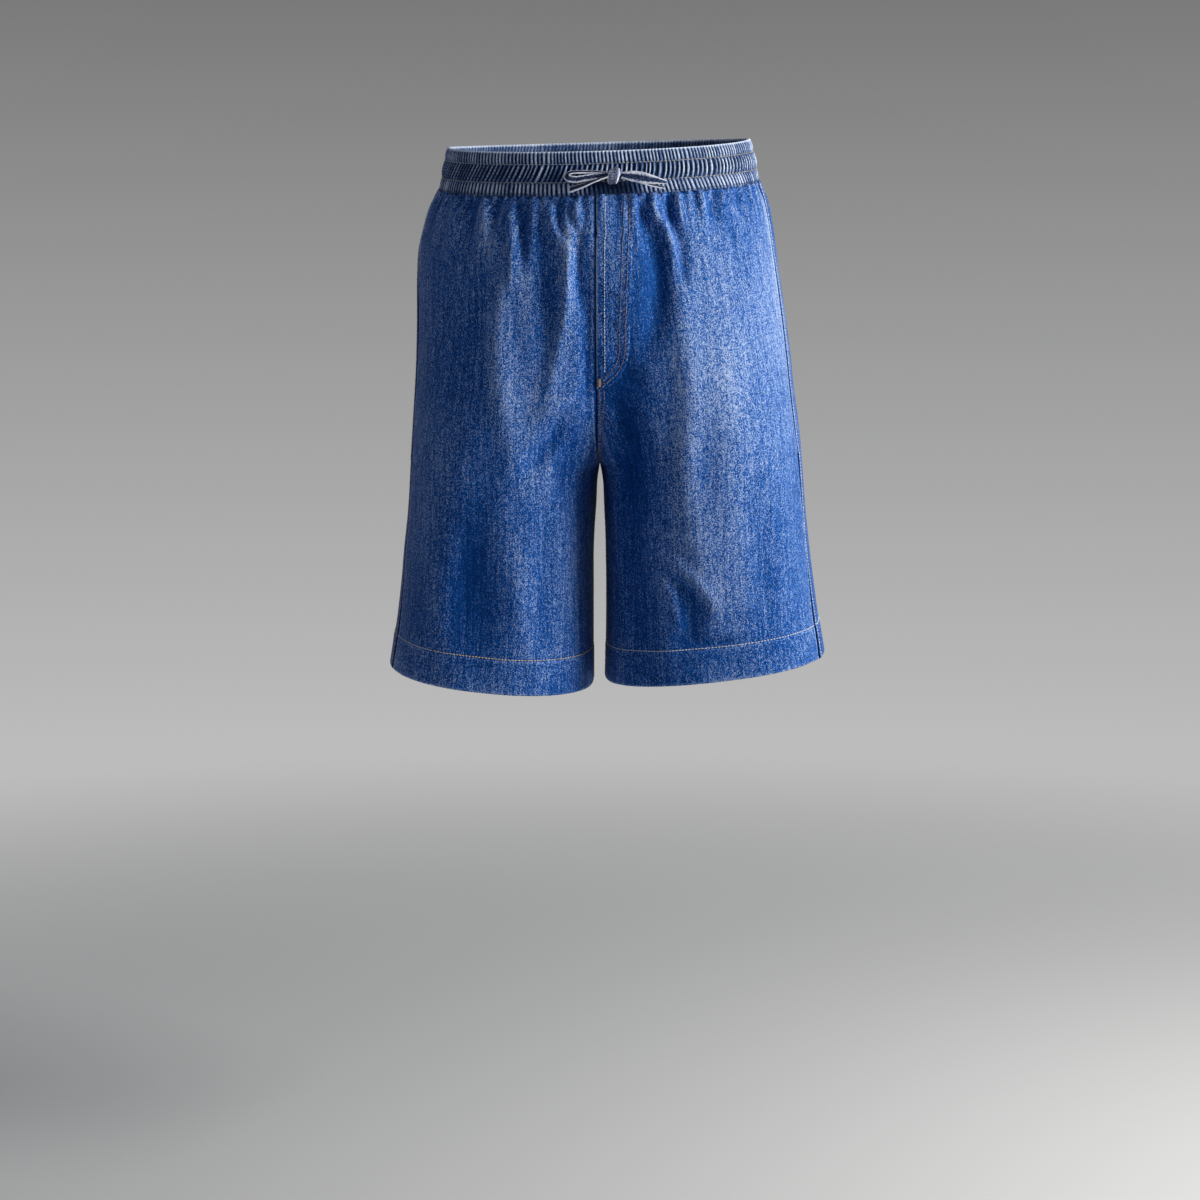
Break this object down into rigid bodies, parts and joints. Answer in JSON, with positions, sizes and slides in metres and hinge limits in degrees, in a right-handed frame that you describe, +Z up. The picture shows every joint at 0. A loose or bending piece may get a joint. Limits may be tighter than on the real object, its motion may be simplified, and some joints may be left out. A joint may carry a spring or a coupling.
{
  "type": "denim shorts",
  "caption": "Knee-length pull-on denim shorts in their worn, hollow form: gathered elastic waistband, tied drawstring, stitched mock fly, side-seam pockets, turned hems.",
  "frame": {"origin": "the middle of the waistband, inside the waist opening, where the wearer's waist holds the shorts up", "axes": "+Z up along the body, -Y towards the wearer's front, +X towards the wearer's left"},
  "size_m": [0.4347, 0.2583, 0.5504],
  "materials": {
    "denim": "mid-blue washed denim with pale slubs, matte",
    "denim_inside": "paler reverse of the same denim, matte",
    "washed_denim": "grey-blue washed denim with worn light edges, matte",
    "thread": "pale and tan sewing thread"
  },
  "bodies": {
    "root": {"waistband": "washed_denim", "front_right": "denim", "front_left": "denim", "back_right": "denim", "back_left": "denim", "fly": "denim", "hem_right": "denim_inside", "hem_left": "denim_inside", "pocket_facing_right": "denim_inside", "pocket_facing_left": "denim_inside", "bow_loop_right": "washed_denim", "bow_tail_right": "washed_denim", "bow_loop_left": "washed_denim", "bow_tail_left": "washed_denim", "bow_knot": "washed_denim"}
  },
  "joints": []
}
